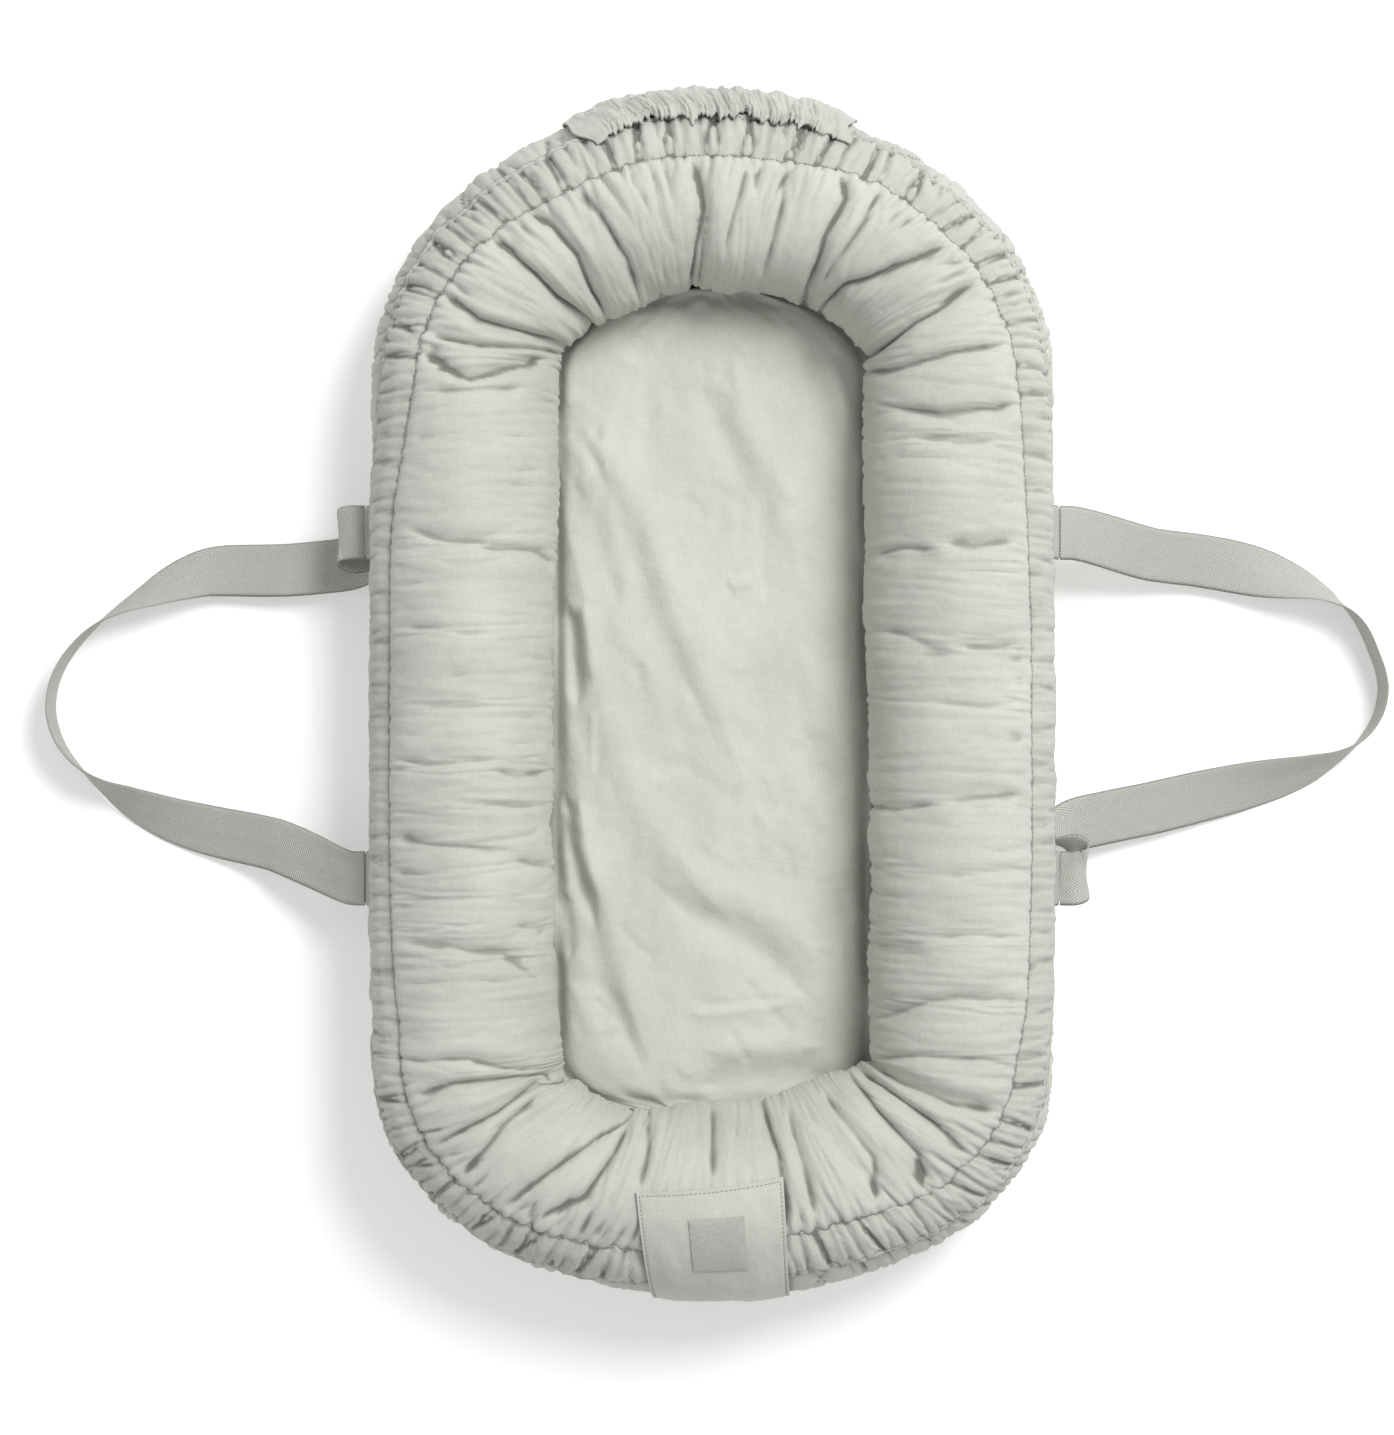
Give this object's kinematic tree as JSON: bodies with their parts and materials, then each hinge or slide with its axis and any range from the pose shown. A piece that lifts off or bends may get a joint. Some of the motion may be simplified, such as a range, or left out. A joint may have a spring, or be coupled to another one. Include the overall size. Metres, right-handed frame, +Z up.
{
  "type": "infant lounger",
  "caption": "Oval padded nest for a baby: a stuffed bumper ring in a gathered cotton cover round a flat padded base, with carrying straps, a head flap and a drawstring.",
  "frame": {"origin": "centre of the footprint on the underside of the base panel", "axes": "+X to the right strap, +Y to the head end with the flap, +Z up out of the nest"},
  "size_m": [0.9532, 0.8491, 0.1394],
  "materials": {
    "sage_cotton": "matte plain-weave cotton, washed, with fine creases",
    "underside_cotton": "matte canvas",
    "fibre_fill": "polyester fibre in a white inner bag",
    "webbing": "herringbone cotton webbing",
    "label_weave": "dense woven label, left bare",
    "cotton_cord": "braided cotton cord",
    "elastic": "round covered elastic",
    "moulded_plastic": "satin moulded plastic",
    "spring_steel": "drawn spring wire"
  },
  "bodies": {
    "nest": {"base_panel": "underside_cotton", "mattress_pad": "fibre_fill", "base_sheet": "sage_cotton", "bumper_filling": "fibre_fill", "bumper_cover": "sage_cotton", "outer_band": "sage_cotton", "drawstring_casing": "sage_cotton", "drawstring": "cotton_cord", "foot_patch": "sage_cotton", "label": "label_weave", "left_head_strap_end": "webbing", "left_foot_strap_end": "webbing", "right_head_strap_end": "webbing", "right_foot_strap_end": "webbing"},
    "flap": {"head_flap": "sage_cotton", "flap_elastic": "elastic"},
    "left_handle": {"left_strap": "webbing"},
    "right_handle": {"right_strap": "webbing"},
    "cord_lock": {"cord_lock_barrel": "moulded_plastic", "cord_lock_spring": "spring_steel"},
    "cord_lock_button": {"cord_lock_plunger": "moulded_plastic"}
  },
  "joints": [
    {"name": "left_handle_swing", "type": "hinge", "parent": "nest", "child": "left_handle", "pos_m": [-0.24338, -0.006, 0.06745], "axis": [0, 1, 0], "range_deg": [0, 115]},
    {"name": "right_handle_swing", "type": "hinge", "parent": "nest", "child": "right_handle", "pos_m": [0.24338, -0.006, 0.06745], "axis": [0, -1, 0], "range_deg": [0, 115]},
    {"name": "head_flap_open", "type": "hinge", "parent": "nest", "child": "flap", "pos_m": [0, 0.396, 0.019], "axis": [-1, 0, 0], "range_deg": [0, 30], "stiffness_Nm_per_rad": 0.05, "springref_deg": -11.46},
    {"name": "cord_lock_slide", "type": "slide", "parent": "nest", "child": "cord_lock", "axis": [0, 0, 1], "range_m": [-0.008, 0]},
    {"name": "cord_lock_press", "type": "slide", "parent": "cord_lock", "child": "cord_lock_button", "axis": [1, 0, 0], "range_m": [0, 0.0025], "stiffness_N_per_m": 600, "springref_m": -0.002, "deforming": ["cord_lock_spring"]}
  ]
}
